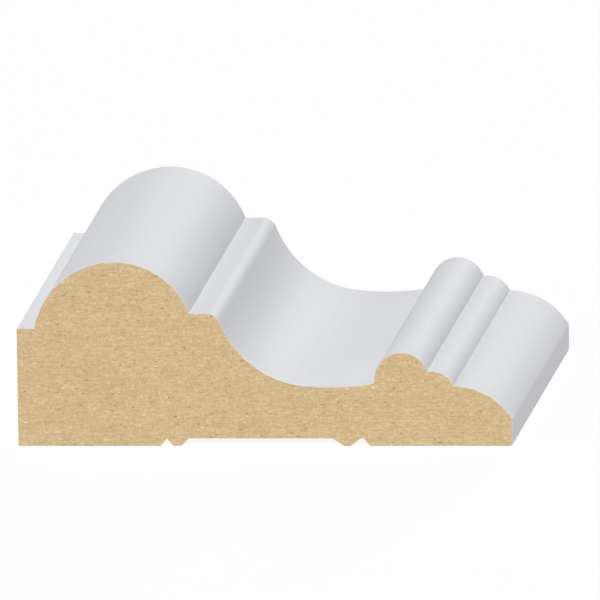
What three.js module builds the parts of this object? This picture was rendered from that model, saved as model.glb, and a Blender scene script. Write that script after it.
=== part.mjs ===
// Casing moulding: a short, square-cut length of primed fibreboard door casing, lying on its back.
// Millimetres. X runs across the width, from the thick outer edge to the thin inner edge, Y runs along
// the length, and Z points away from the wall. The origin is on the back plane, in the middle.
import * as THREE from 'three';

// Overall size: 3 3/8 by 1 1/4 by 1 1/2 inches
const WIDTH = 85.725;
const THICKNESS = 31.75;
const LENGTH = 38.1;

// The profile below is given as distances across from the outer edge and distances up from the back plane.
// Outer edge and lip: the edge leans in a little towards the wall
const OUTER_EDGE_LEAN = 0.35;
const LIP_UP = 20.26;

// Big bead, a half round that stands to the full thickness
const BEAD_RADIUS = 14;
const BEAD_ACROSS = 16.8;

// Fillet: the flat shelf between the bead and the cove, and the rounded corner where it turns down
const FILLET_UP = 22.9;
const FILLET_ROUND = 2.45;

// Cove: a tight arc that starts steep and runs out into a wide one, whose lowest point is the thinnest place
const COVE_LOWEST_ACROSS = 54.15;
const COVE_LOWEST_UP = 10.15;
const COVE_TIGHT_RADIUS = 17.74;
const COVE_WIDE_RADIUS = 46.47;
const COVE_STEEPEST = THREE.MathUtils.degToRad(66.5);
const COVE_CHANGE = THREE.MathUtils.degToRad(5.2);

// Two small beads that step down to the ovolo, and the ovolo itself, a quarter round cut by the inner edge
const SMALL_BEAD = { across: 66.53, up: 11.39, radius: 4.69 };
const STEP_BEAD = { across: 71.65, up: 8.6, radius: 4.3 };
const OVOLO = { across: 75.37, up: -1.8, radius: 12.13 };
const INNER_EDGE_ROUND = 0.8;

// Back: two flat pads that bear on the wall, with a shallow hollow between them. At each side of the
// hollow a narrow ridge stands down to the wall plane, and a groove parts it from the pad.
const RELIEF = 1.3;
const OUTER_PAD_END = 24.9;
const OUTER_GROOVE_ROOF = 26;
const OUTER_RIDGE_TIP = [27.2, 28.5];
const HOLLOW_ROOF = [29.8, 54.7];
const INNER_RIDGE_TIP = [56.7, 57.8];
const INNER_GROOVE_ROOF = [59.5, 60.1];
const INNER_PAD_START = 61.2;

// Round stretches are cut into steps of at most this angle
const ARC_STEP = THREE.MathUtils.degToRad(3);

const PRIMER_COLOUR = 0xdbdde0;
const PRIMER_ROUGHNESS = 0.6;

// The angle from a circle's centre to a point, and the point at an angle
function angleTo(circle, point) {
  return Math.atan2(point.y - circle.up, point.x - circle.across);
}

function pointAt(circle, angle) {
  const { across, up, radius } = circle;
  return new THREE.Vector2(across + radius * Math.cos(angle), up + radius * Math.sin(angle));
}

// Where a circle reaches a height, on its left (-1) or its right (1)
function atHeight(circle, up, side) {
  const half = Math.sqrt(circle.radius ** 2 - (up - circle.up) ** 2);
  return new THREE.Vector2(circle.across + side * half, up);
}

// Where two circles cross, on the left (1) or the right (-1) of the way from one centre to the other
function crossing(one, other, side) {
  const away = new THREE.Vector2(other.across - one.across, other.up - one.up);
  const gap = away.length();
  const along = (gap ** 2 + one.radius ** 2 - other.radius ** 2) / (2 * gap);
  const out = side * Math.sqrt(one.radius ** 2 - along ** 2);
  const { x, y } = away.normalize();
  return new THREE.Vector2(one.across + along * x - out * y, one.up + along * y + out * x);
}

// The points of an arc from one angle to another. Its end is left out, for the next stretch to start on.
function arc(circle, from, to) {
  const steps = Math.ceil(Math.abs(to - from) / ARC_STEP);
  return Array.from({ length: steps }, (_, i) => pointAt(circle, from + ((to - from) * i) / steps));
}

const level = (across, up) => across.map((x) => new THREE.Vector2(x, up));

// The back, from the outer edge to the inner edge
function backLine() {
  return [
    ...level([OUTER_EDGE_LEAN, OUTER_PAD_END], 0),
    ...level([OUTER_GROOVE_ROOF], RELIEF),
    ...level(OUTER_RIDGE_TIP, 0),
    ...level(HOLLOW_ROOF, RELIEF),
    ...level(INNER_RIDGE_TIP, 0),
    ...level(INNER_GROOVE_ROOF, RELIEF),
    ...level([INNER_PAD_START, WIDTH], 0),
  ];
}

// The ovolo and the two small beads, from the inner edge to the cove
function smallBeadsLine(coveWide) {
  const edgeRound = {
    across: WIDTH - INNER_EDGE_ROUND,
    up: OVOLO.up + Math.sqrt((OVOLO.radius - INNER_EDGE_ROUND) ** 2
      - (WIDTH - INNER_EDGE_ROUND - OVOLO.across) ** 2),
    radius: INNER_EDGE_ROUND,
  };
  const ovoloStart = Math.atan2(edgeRound.up - OVOLO.up, edgeRound.across - OVOLO.across);
  const ovoloEnd = crossing(STEP_BEAD, OVOLO, 1);
  const stepEnd = crossing(SMALL_BEAD, STEP_BEAD, 1);
  const beadEnd = crossing(coveWide, SMALL_BEAD, -1);
  const fullTurn = 2 * Math.PI;
  return [
    ...arc(edgeRound, 0, ovoloStart),
    ...arc(OVOLO, ovoloStart, angleTo(OVOLO, ovoloEnd)),
    ...arc(STEP_BEAD, angleTo(STEP_BEAD, ovoloEnd), angleTo(STEP_BEAD, stepEnd)),
    ...arc(SMALL_BEAD, angleTo(SMALL_BEAD, stepEnd), angleTo(SMALL_BEAD, beadEnd) + fullTurn),
    ...arc(coveWide, angleTo(coveWide, beadEnd), -Math.PI / 2 - COVE_CHANGE),
  ];
}

// The rest of the face, from the cove's tight arc to the outer edge
function bigBeadLine(coveTight) {
  const coveStart = -Math.PI / 2 - COVE_STEEPEST;
  const slope = new THREE.Vector2(Math.sin(COVE_STEEPEST), Math.cos(COVE_STEEPEST));
  const cornerUp = FILLET_UP - FILLET_ROUND;
  const reach = pointAt(coveTight, coveStart).dot(slope) - FILLET_ROUND;
  const corner = {
    across: (reach - cornerUp * slope.y) / slope.x,
    up: cornerUp,
    radius: FILLET_ROUND,
  };
  const bead = { across: BEAD_ACROSS, up: THICKNESS - BEAD_RADIUS, radius: BEAD_RADIUS };
  const beadStart = atHeight(bead, FILLET_UP, 1);
  const beadEnd = atHeight(bead, LIP_UP, -1);
  return [
    ...arc(coveTight, -Math.PI / 2 - COVE_CHANGE, coveStart),
    pointAt(coveTight, coveStart),
    ...arc(corner, Math.PI / 2 - COVE_STEEPEST, Math.PI / 2),
    pointAt(corner, Math.PI / 2),
    ...arc(bead, angleTo(bead, beadStart), angleTo(bead, beadEnd)),
    beadEnd,
    new THREE.Vector2(0, LIP_UP),
  ];
}

function profile() {
  const coveWide = {
    across: COVE_LOWEST_ACROSS,
    up: COVE_LOWEST_UP + COVE_WIDE_RADIUS,
    radius: COVE_WIDE_RADIUS,
  };
  const between = COVE_WIDE_RADIUS - COVE_TIGHT_RADIUS;
  const coveTight = {
    across: coveWide.across - between * Math.sin(COVE_CHANGE),
    up: coveWide.up - between * Math.cos(COVE_CHANGE),
    radius: COVE_TIGHT_RADIUS,
  };
  return new THREE.Shape([...backLine(), ...smallBeadsLine(coveWide), ...bigBeadLine(coveTight)]);
}

function casing() {
  const geometry = new THREE.ExtrudeGeometry(profile(), { depth: LENGTH, bevelEnabled: false });
  const material = new THREE.MeshStandardMaterial({
    color: PRIMER_COLOUR,
    roughness: PRIMER_ROUGHNESS,
    metalness: 0,
  });
  const mesh = new THREE.Mesh(geometry, material);
  mesh.name = 'casing';
  mesh.rotation.x = Math.PI / 2;
  mesh.position.set(-WIDTH / 2, LENGTH / 2, 0);
  return mesh;
}

const moulding = new THREE.Group();
moulding.add(casing());

export default moulding;
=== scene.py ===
"""The looks of a short length of primed fibreboard door casing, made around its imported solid.

Metres, with +X across the width, +Y along the length and +Z away from the wall. The profile's own sizes
are in millimetres, given as distances across from the outer edge and distances up from the back plane.
"""

import itertools
import math

import bpy
from mathutils import Matrix, Vector


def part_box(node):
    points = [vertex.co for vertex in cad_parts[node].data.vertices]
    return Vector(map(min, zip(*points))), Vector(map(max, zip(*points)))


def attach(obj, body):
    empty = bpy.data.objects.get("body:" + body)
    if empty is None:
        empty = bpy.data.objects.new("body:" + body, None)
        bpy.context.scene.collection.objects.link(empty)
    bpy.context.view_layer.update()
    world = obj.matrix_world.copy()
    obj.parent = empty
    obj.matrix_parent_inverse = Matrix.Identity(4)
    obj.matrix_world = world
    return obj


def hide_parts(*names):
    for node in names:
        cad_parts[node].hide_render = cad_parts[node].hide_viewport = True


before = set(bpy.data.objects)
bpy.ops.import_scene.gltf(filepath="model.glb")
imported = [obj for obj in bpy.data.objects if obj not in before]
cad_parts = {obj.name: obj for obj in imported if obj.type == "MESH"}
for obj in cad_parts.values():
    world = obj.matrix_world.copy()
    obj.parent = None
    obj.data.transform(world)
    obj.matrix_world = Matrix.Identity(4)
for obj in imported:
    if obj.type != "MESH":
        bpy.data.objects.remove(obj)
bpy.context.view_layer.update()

MM = 0.001
LOWEST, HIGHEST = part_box("casing")
WIDTH = (HIGHEST.x - LOWEST.x) / MM
LENGTH = (HIGHEST.y - LOWEST.y) / MM
THICKNESS = (HIGHEST.z - LOWEST.z) / MM

# The face, from the thick outer edge to the thin inner edge. The two small beads and the ovolo are given
# by their centre across and up, and their radius.
OUTER_EDGE_LEAN = 0.35
LIP_UP = 20.26
BEAD_RADIUS = 14.0
BEAD_ACROSS = 16.8
FILLET_UP = 22.9
FILLET_ROUND = 2.45
COVE_LOWEST_ACROSS = 54.15
COVE_LOWEST_UP = 10.15
COVE_TIGHT_RADIUS = 17.74
COVE_WIDE_RADIUS = 46.47
COVE_STEEPEST = math.radians(66.5)
COVE_CHANGE = math.radians(5.2)
SMALL_BEAD = (66.53, 11.39, 4.69)
STEP_BEAD = (71.65, 8.6, 4.3)
OVOLO = (75.37, -1.8, 12.13)
INNER_EDGE_ROUND = 0.8

# The back: two pads, and between them a shallow hollow with a ridge and a groove at each side
RELIEF = 1.3
OUTER_PAD_END = 24.9
OUTER_GROOVE_ROOF = 26.0
OUTER_RIDGE_TIP = (27.2, 28.5)
HOLLOW_ROOF = (29.8, 54.7)
INNER_RIDGE_TIP = (56.7, 57.8)
INNER_GROOVE_ROOF = (59.5, 60.1)
INNER_PAD_START = 61.2

# What the cutter, the sander and the saw leave at the corners, and the thickness of the coat
QUIRK_RADIUS = 0.15
ARRIS_RADIUS = 0.2
SAWN_EDGE_EASE = 0.01
COAT = 0.025

# How finely the surface is divided. Points of the profile that are closer than TOUCHING are one, and a
# corner that turns further than SHARP_ANGLE is shaded as an edge.
ARC_CHORD = 0.25
LEAST_STEPS = 8
SECTION_STEP = 2.0
TOUCHING = 1e-4
SHARP_ANGLE = math.radians(25)

# A sharp corner of an outline that is moved inwards goes at most 1 / LEAST_LEAN times as far as a side
LEAST_LEAN = 0.5

# The colours as they are seen, with red, green and blue from 0 to 255, from the darkest to the palest
PRIMER_SHADES = [(218.5, 218, 224.8), (224, 223.5, 230.3)]
BOARD_SHADES = [(180, 140, 94), (211, 184, 141), (243, 228, 189)]

# The coat: the steps of its patterns in a millimetre across, along and up, and what each adds to its tone
# and to its skin, which stands PRIMER_RELIEF mm high
DRAG = (1.6, 0.03, 1.6)
PEEL = (0.9, 0.9, 0.9)
HAZE = (0.12, 0.06, 0.12)
DRAG_DETAIL = 2
DRAG_IN_TONE, HAZE_IN_TONE = 0.5, 0.5
DRAG_IN_SKIN, PEEL_IN_SKIN = 0.4, 0.6
PRIMER_RELIEF = 0.006
PRIMER_ROUGHNESS, HAZE_IN_ROUGHNESS = 0.57, 0.06

# The board's fibres, from fine to coarse: the steps of each pattern in a millimetre across, along and up,
# its detail, and what it adds to the tone, which starts at BOARD_TONE
BOARD_TONE = -0.005
FIBRES = [
    ("grain", (2.4, 2.4, 3.2), 1, 0.575),
    ("streaks", (0.7, 0.7, 3.0), 0, 0.27),
    ("layers", (0.1, 0.1, 3.4), 0, 0.145),
    ("clouds", (0.1, 0.1, 0.25), 0, 0.02),
]

# The bits in the board: the steps of each pattern, where it starts, the radius of a bit in steps, and what
# it adds to the tone. The middle of a bit, FLECK_CORE of its radius, is of one tone.
BITS = [
    ("bark", (0.5, 0.5, 0.75), (0, 0, 0), 0.15, -0.45),
    ("shives", (0.3, 0.3, 1.15), (9.7, 5.1, 3.3), 0.15, -0.5),
    ("splinters", (0.4, 0.4, 0.9), (31.7, 12.3, 47.1), 0.14, 0.32),
]
FLECK_CORE = 0.3

# The board's colour is multiplied by its cast, to which the drift adds from none to all of its own value
BOARD_CAST = (0.782, 0.832, 0.712)
BOARD_CAST_DRIFT = (0.175, 0.03, 0.27)
DRIFT = (1.0, 1.0, 1.3)
DRIFT_DETAIL, DRIFT_ROUGHNESS = 1, 0.9

BOARD_RELIEF = 0.02
BOARD_ROUGHNESS = 0.9
BOARD_SPECULAR = 0.2

# Where the sawn end and the length lie in the photograph, in pixels of its 600 by 600 frame
PHOTO_SIDE = 600
END_LEFT, END_RIGHT, END_BOTTOM = 16.4, 512.2, 446.0
LENGTH_RIGHT, LENGTH_UP = 56.75, 95.8
CAMERA_AWAY = 0.4

FLOOR_SIDE = 6.0
FLOOR_GREY = 0.12
FLOOR_GLOW = 0.88
FLOOR_TINT = (1.0, 1.0, 1.01, 1.0)

# The lamps: each one's compass angle from +X, its height and its spread in degrees, its strength and colour
LAMPS = [
    ("key", 279, 50, 20, 3.0, (0.97, 1.0, 0.955)),
    ("back", 82, 19, 28, 1.32, (1.01, 1.0, 0.99)),
    ("left", 196, 26, 36, 0.8, (0.99, 1.0, 1.0)),
]


# Profile


class Circle:
    """A circle of the profile: its centre across and up, and its radius."""

    def __init__(self, across, up, radius):
        self.centre = Vector((across, up))
        self.radius = radius

    def grown(self, by):
        return Circle(*self.centre, self.radius + by)

    def at(self, angle):
        return self.centre + self.radius * Vector((math.cos(angle), math.sin(angle)))

    def angle_to(self, point):
        return math.atan2(point.y - self.centre.y, point.x - self.centre.x)

    def towards(self, point):
        return self.at(self.angle_to(point))

    def at_height(self, up, side):
        """Where it reaches a height, on its left (-1) or its right (1)."""
        half = math.sqrt(self.radius**2 - (up - self.centre.y) ** 2)
        return Vector((self.centre.x + side * half, up))

    def crossing(self, other, side):
        """Where it crosses another circle, on the left (1) or the right (-1) of the way to its centre."""
        way = other.centre - self.centre
        gap = way.length
        along = (gap**2 + self.radius**2 - other.radius**2) / (2 * gap)
        out = side * math.sqrt(self.radius**2 - along**2)
        way.normalize()
        return self.centre + along * way + out * Vector((-way.y, way.x))


# The directions in the profile, as angles
LEFT, DOWN, RIGHT, UP = math.pi, -math.pi / 2, 0, math.pi / 2


def arc(circle, start, end, turn):
    """The points from start to end round a circle, anticlockwise (1) or clockwise (-1)."""
    first = circle.angle_to(start)
    sweep = (turn * (circle.angle_to(end) - first)) % math.tau
    steps = max(LEAST_STEPS, math.ceil(sweep * circle.radius / ARC_CHORD))
    return [circle.at(first + turn * sweep * i / steps) for i in range(steps + 1)]


def rounded(centre, radius, start_angle, end_angle):
    """A convex corner's arc, clockwise from one angle to another."""
    circle = Circle(*centre, radius)
    return arc(circle, circle.at(start_angle), circle.at(end_angle), -1)


def quirk(centre):
    """The small round in the corner where two stretches meet inwards."""
    return Circle(*centre, QUIRK_RADIUS)


def lip_and_bead():
    """Up the outer edge, over the lip and the big bead, and down to the fillet."""
    ease = ARRIS_RADIUS
    bead = Circle(BEAD_ACROSS, THICKNESS - BEAD_RADIUS, BEAD_RADIUS)
    at_lip = quirk(bead.grown(QUIRK_RADIUS).at_height(LIP_UP + QUIRK_RADIUS, -1))
    at_fillet = quirk(bead.grown(QUIRK_RADIUS).at_height(FILLET_UP + QUIRK_RADIUS, 1))
    bead_start, bead_end = bead.towards(at_lip.centre), bead.towards(at_fillet.centre)
    return [
        rounded((OUTER_EDGE_LEAN + ease, ease), ease, DOWN, LEFT),
        rounded((ease, LIP_UP - ease), ease, LEFT, UP),
        arc(at_lip, at_lip.at(DOWN), bead_start, 1),
        arc(bead, bead_start, bead_end, -1),
        arc(at_fillet, bead_end, at_fillet.at(DOWN), 1),
    ]


def corner_and_cove(wide):
    """Along the fillet, round its corner, down the slope and through the cove's tight arc."""
    change = DOWN - COVE_CHANGE
    tight = Circle(*wide.grown(-COVE_TIGHT_RADIUS).at(change), COVE_TIGHT_RADIUS)
    start = tight.at(DOWN - COVE_STEEPEST)
    slope = Vector((math.sin(COVE_STEEPEST), math.cos(COVE_STEEPEST)))
    corner_up = FILLET_UP - FILLET_ROUND
    corner_across = (start.dot(slope) - FILLET_ROUND - corner_up * slope.y) / slope.x
    return [
        rounded((corner_across, corner_up), FILLET_ROUND, UP, UP - COVE_STEEPEST),
        arc(tight, start, tight.at(change), 1),
    ]


def small_beads(wide):
    """Out of the cove, over the two small beads and the ovolo, and down the inner edge."""
    ease = ARRIS_RADIUS
    small, step, ovolo = Circle(*SMALL_BEAD), Circle(*STEP_BEAD), Circle(*OVOLO)
    at_cove = quirk(wide.grown(-QUIRK_RADIUS).crossing(small.grown(QUIRK_RADIUS), -1))
    at_step = quirk(small.grown(QUIRK_RADIUS).crossing(step.grown(QUIRK_RADIUS), 1))
    at_ovolo = quirk(step.grown(QUIRK_RADIUS).crossing(ovolo.grown(QUIRK_RADIUS), 1))
    inside = ovolo.grown(-INNER_EDGE_ROUND)
    edge_angle = math.acos((WIDTH - INNER_EDGE_ROUND - inside.centre.x) / inside.radius)
    return [
        arc(wide, wide.at(DOWN - COVE_CHANGE), wide.towards(at_cove.centre), 1),
        arc(at_cove, wide.towards(at_cove.centre), small.towards(at_cove.centre), 1),
        arc(small, small.towards(at_cove.centre), small.towards(at_step.centre), -1),
        arc(at_step, small.towards(at_step.centre), step.towards(at_step.centre), 1),
        arc(step, step.towards(at_step.centre), step.towards(at_ovolo.centre), -1),
        arc(at_ovolo, step.towards(at_ovolo.centre), ovolo.towards(at_ovolo.centre), 1),
        arc(ovolo, ovolo.towards(at_ovolo.centre), ovolo.at(edge_angle), -1),
        rounded(inside.at(edge_angle), INNER_EDGE_ROUND, edge_angle, RIGHT),
        rounded((WIDTH - ease, ease), ease, RIGHT, DOWN),
    ]


def face_line():
    """The primed stretch of the profile, from the back round the outer edge, the face and the inner edge."""
    wide = Circle(COVE_LOWEST_ACROSS, COVE_LOWEST_UP + COVE_WIDE_RADIUS, COVE_WIDE_RADIUS)
    line = []
    for point in itertools.chain(*lip_and_bead(), *corner_and_cove(wide), *small_beads(wide)):
        if not line or (point - line[-1]).length > TOUCHING:
            line.append(point)
    return line


def back_line():
    """The raw stretch of the profile, along the back from the inner edge to the outer edge."""
    turns = [
        (INNER_PAD_START, 0),
        *((across, RELIEF) for across in reversed(INNER_GROOVE_ROOF)),
        *((across, 0) for across in reversed(INNER_RIDGE_TIP)),
        *((across, RELIEF) for across in reversed(HOLLOW_ROOF)),
        *((across, 0) for across in reversed(OUTER_RIDGE_TIP)),
        (OUTER_GROOVE_ROOF, RELIEF),
        (OUTER_PAD_END, 0),
    ]
    return [Vector(turn) for turn in turns]


def inset(outline, depth):
    """The closed outline moved into the board by a depth."""
    moved = []
    for i, point in enumerate(outline):
        before = (point - outline[i - 1]).normalized()
        after = (outline[(i + 1) % len(outline)] - point).normalized()
        across = Vector((before.y + after.y, -before.x - after.x)).normalized()
        lean = across.dot(Vector((after.y, -after.x)))
        moved.append(point + across * depth / max(lean, LEAST_LEAN))
    return moved


# Casing


COATED, RAW = 0, 1


def side_faces(here, there, coated, count):
    """The faces between two rings of points, each with its material. The first so many are coated."""
    for i in range(count):
        j = (i + 1) % count
        material = COATED if i < coated else RAW
        yield (here + i, here + j, there + j, there + i), material


def end_faces(ring, inner, coated, count):
    """The faces of a sawn end, each with its material: the board, and the edge of the coat beside it.

    The end's own points start at ring, and those under the coat start at inner. The coat tapers off at
    both ends of its stretch, so the first and the last face there have only three corners.
    """
    board = (ring, *range(inner, inner + coated - 1), *range(ring + coated, ring + count))
    yield board, RAW
    for i in range(coated):
        corners = (ring + i, ring + i + 1, board[i + 1], board[i])
        yield tuple(dict.fromkeys(corners)), COATED


def casing_mesh():
    """The points of the whole moulding as one closed mesh, and its faces, each with its material."""
    face = face_line()
    outline = face + back_line()
    count, coated = len(outline), len(face) - 1
    eased, under_coat = inset(outline, SAWN_EDGE_EASE), inset(outline, COAT)
    end = LENGTH / 2
    run = LENGTH - 2 * SAWN_EDGE_EASE
    sections = round(run / SECTION_STEP)
    straight = [-end + SAWN_EDGE_EASE + run * i / sections for i in range(sections + 1)]

    rings = [(eased, -end), *((outline, y) for y in straight), (eased, end)]
    points = [(p.x, y, p.y) for ring, y in rings for p in ring]
    starts = [count * i for i in range(len(rings))]
    faces = []
    for here, there in itertools.pairwise(starts):
        faces += side_faces(here, there, coated, count)
    for ring, y, turn in ((starts[0], -end, -1), (starts[-1], end, 1)):
        for corners, material in end_faces(ring, len(points), coated, count):
            faces.append((corners[::turn], material))
        points += [(p.x, y, p.y) for p in under_coat[1:coated]]
    return points, faces


def build_casing(coat, board):
    """The moulding as one mesh piece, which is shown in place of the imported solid."""
    points, faces = casing_mesh()
    mesh = bpy.data.meshes.new("casing_moulding")
    corner = Vector((LOWEST.x, (LOWEST.y + HIGHEST.y) / 2, LOWEST.z))
    places = [corner + MM * Vector(point) for point in points]
    mesh.from_pydata(places, [], [corners for corners, material in faces])
    mesh.materials.append(coat)
    mesh.materials.append(board)
    mesh.polygons.foreach_set("material_index", [material for corners, material in faces])
    mesh.polygons.foreach_set("use_smooth", [True] * len(faces))
    mesh.set_sharp_from_angle(angle=SHARP_ANGLE)
    casing = bpy.data.objects.new("casing_moulding", mesh)
    bpy.context.scene.collection.objects.link(casing)
    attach(casing, "root")
    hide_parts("casing")


# Materials


def linear(colour):
    """The linear colour, with alpha, of a colour as it is seen, from 0 to 255."""
    def channel(value):
        value /= 255
        return value / 12.92 if value <= 0.04045 else ((value + 0.055) / 1.055) ** 2.4
    return (*(channel(value) for value in colour), 1.0)


def add(tree, kind, inputs=None, **properties):
    """A new node, with its properties set, and its inputs set to values or linked to outputs."""
    node = tree.nodes.new(kind)
    for name, value in properties.items():
        setattr(node, name, value)
    for name, value in (inputs or {}).items():
        if isinstance(value, bpy.types.NodeSocket):
            tree.links.new(value, node.inputs[name])
        else:
            node.inputs[name].default_value = value
    return node


def new_material(name):
    """A new material, its node tree and its shader."""
    material = bpy.data.materials.new(name)
    material.use_nodes = True
    return material, material.node_tree, material.node_tree.nodes["Principled BSDF"]


def connect(tree, output, shader, name):
    tree.links.new(output, shader.inputs[name])


def place(tree, per_mm):
    """Object coordinates in steps of a pattern, so many for each millimetre across, along and up."""
    coordinates = add(tree, "ShaderNodeTexCoord").outputs["Object"]
    scale = [count / MM for count in per_mm]
    return add(tree, "ShaderNodeMapping", {"Vector": coordinates, "Scale": scale}).outputs["Vector"]


def noise(tree, name, per_mm, detail=0):
    """A smooth random value, about 0.5 on the whole."""
    inputs = {"Vector": place(tree, per_mm), "Scale": 1.0, "Detail": detail}
    return add(tree, "ShaderNodeTexNoise", inputs, label=name).outputs["Fac"]


def flecks(tree, name, per_mm, start, radius):
    """Scattered spots, 1 in the middle of each and 0 from its radius outwards, in steps of the pattern."""
    away = add(tree, "ShaderNodeVectorMath", {0: place(tree, per_mm), 1: start}, operation="ADD")
    cells = add(tree, "ShaderNodeTexVoronoi", {"Vector": away.outputs["Vector"], "Scale": 1.0}, label=name)
    inputs = {"Value": cells.outputs["Distance"], "From Min": radius, "From Max": FLECK_CORE * radius}
    return add(tree, "ShaderNodeMapRange", inputs, interpolation_type="SMOOTHSTEP").outputs["Result"]


def weighted(tree, level, layers):
    """A level with so much of each layer added."""
    for layer, weight in layers:
        inputs = {0: layer, 1: weight, 2: level}
        level = add(tree, "ShaderNodeMath", inputs, operation="MULTIPLY_ADD").outputs[0]
    return level


def shades(tree, tone, colours):
    """The colours in turn, evenly spaced as the tone goes from 0 to 1."""
    ramp = add(tree, "ShaderNodeValToRGB", {"Fac": tone})
    stops = ramp.color_ramp.elements
    stops[0].color = linear(colours[0])
    stops[1].color = linear(colours[-1])
    for i in range(1, len(colours) - 1):
        stops.new(i / (len(colours) - 1)).color = linear(colours[i])
    return ramp.outputs["Color"]


def drifting(tree, colour, drift):
    """A colour whose red, green and blue each wander by so much, apart from one another."""
    inputs = {
        "Vector": place(tree, DRIFT),
        "Scale": 1.0,
        "Detail": DRIFT_DETAIL,
        "Roughness": DRIFT_ROUGHNESS,
    }
    wander = add(tree, "ShaderNodeTexNoise", inputs, label="drift").outputs["Color"]
    inputs = {0: wander, 1: drift, 2: colour}
    return add(tree, "ShaderNodeVectorMath", inputs, operation="MULTIPLY_ADD").outputs["Vector"]


def multiplied(tree, one, other):
    return add(tree, "ShaderNodeVectorMath", {0: one, 1: other}, operation="MULTIPLY").outputs["Vector"]


def bump(tree, height, relief):
    """A normal for a surface whose heights from 0 to 1 stand for so many millimetres."""
    return add(tree, "ShaderNodeBump", {"Height": height, "Distance": relief * MM}).outputs["Normal"]


def primer():
    """A sprayed satin coat of even colour, with a faint drag along the length and a trace of orange peel."""
    material, tree, shader = new_material("satin_primer")
    drag = noise(tree, "drag", DRAG, DRAG_DETAIL)
    peel = noise(tree, "peel", PEEL)
    haze = noise(tree, "haze", HAZE)
    tone = weighted(tree, 0.0, [(drag, DRAG_IN_TONE), (haze, HAZE_IN_TONE)])
    skin = weighted(tree, 0.0, [(drag, DRAG_IN_SKIN), (peel, PEEL_IN_SKIN)])
    sheen = weighted(tree, PRIMER_ROUGHNESS, [(haze, HAZE_IN_ROUGHNESS)])
    connect(tree, shades(tree, tone, PRIMER_SHADES), shader, "Base Color")
    connect(tree, sheen, shader, "Roughness")
    connect(tree, bump(tree, skin, PRIMER_RELIEF), shader, "Normal")
    return material


def fibreboard():
    """Raw board: fine fibres laid flat in its plane, with scattered dark and pale bits of bark and wood."""
    material, tree, shader = new_material("raw_fibreboard")
    smooth = [(noise(tree, name, per_mm, detail), weight) for name, per_mm, detail, weight in FIBRES]
    fibres = weighted(tree, 0.0, smooth)
    bits = [(flecks(tree, *pattern), weight) for *pattern, weight in BITS]
    tone = weighted(tree, BOARD_TONE, [(fibres, 1.0), *bits])
    cast = drifting(tree, BOARD_CAST, BOARD_CAST_DRIFT)
    colour = multiplied(tree, shades(tree, tone, BOARD_SHADES), cast)
    connect(tree, colour, shader, "Base Color")
    connect(tree, bump(tree, fibres, BOARD_RELIEF), shader, "Normal")
    shader.inputs["Roughness"].default_value = BOARD_ROUGHNESS
    shader.inputs["Specular IOR Level"].default_value = BOARD_SPECULAR
    return material


# Camera, floor and light


def build_camera():
    """The photograph's view: the sawn end in its true shape, and the length slanting back to the right."""
    pixel = WIDTH * MM / (END_RIGHT - END_LEFT)
    length = LENGTH * MM
    backwards = Vector((LENGTH_RIGHT * pixel / length, -1, LENGTH_UP * pixel / length)).normalized()
    middle = Vector((
        LOWEST.x + (PHOTO_SIDE / 2 - END_LEFT) * pixel,
        LOWEST.y,
        LOWEST.z + (END_BOTTOM - PHOTO_SIDE / 2) * pixel,
    ))
    data = bpy.data.cameras.new("camera")
    data.type = "ORTHO"
    data.ortho_scale = PHOTO_SIDE * pixel
    camera = bpy.data.objects.new("camera", data)
    stand = bpy.data.objects.new("camera_stand", None)
    bpy.context.scene.collection.objects.link(camera)
    bpy.context.scene.collection.objects.link(stand)
    camera.parent = stand
    slanted = Matrix(((1, 0, 0), (0, 0, 1), backwards)).transposed().to_4x4()
    camera.matrix_parent_inverse = Matrix.Translation(middle + backwards * CAMERA_AWAY) @ slanted
    bpy.context.scene.camera = camera


def build_floor():
    """A white table that glows a little, so that it stays white and shows only a faint shadow."""
    half = FLOOR_SIDE / 2
    mesh = bpy.data.meshes.new("floor")
    corners = [(-half, -half, 0), (half, -half, 0), (half, half, 0), (-half, half, 0)]
    mesh.from_pydata(corners, [], [(0, 1, 2, 3)])
    material, tree, shader = new_material("white_floor")
    shader.inputs["Base Color"].default_value = (FLOOR_GREY, FLOOR_GREY, FLOOR_GREY, 1)
    shader.inputs["Roughness"].default_value = 1.0
    shader.inputs["Specular IOR Level"].default_value = 0.0
    shader.inputs["Emission Color"].default_value = FLOOR_TINT
    shader.inputs["Emission Strength"].default_value = FLOOR_GLOW
    mesh.materials.append(material)
    floor = bpy.data.objects.new("floor", mesh)
    bpy.context.scene.collection.objects.link(floor)


def build_light():
    """Three broad, soft lamps: one above in front, one behind and one at the left."""
    for name, azimuth, elevation, spread, strength, colour in LAMPS:
        light = bpy.data.lights.new(name, "SUN")
        light.angle = math.radians(spread)
        light.energy = strength
        light.color = colour
        azimuth, elevation = math.radians(azimuth), math.radians(elevation)
        level = math.cos(elevation)
        way = Vector((level * math.cos(azimuth), level * math.sin(azimuth), math.sin(elevation)))
        lamp = bpy.data.objects.new(name, light)
        lamp.rotation_mode = "QUATERNION"
        lamp.rotation_quaternion = way.to_track_quat("Z", "Y")
        bpy.context.scene.collection.objects.link(lamp)


def build_background():
    """White where the camera sees past the floor, with no light of its own, and colours shown as they are."""
    world = bpy.data.worlds.new("studio")
    world.use_nodes = True
    background = world.node_tree.nodes["Background"]
    background.inputs["Color"].default_value = (1, 1, 1, 1)
    seen = add(world.node_tree, "ShaderNodeLightPath").outputs["Is Camera Ray"]
    connect(world.node_tree, seen, background, "Strength")
    bpy.context.scene.world = world
    bpy.context.scene.view_settings.view_transform = "Standard"


build_camera()
build_casing(primer(), fibreboard())
build_floor()
build_light()
build_background()
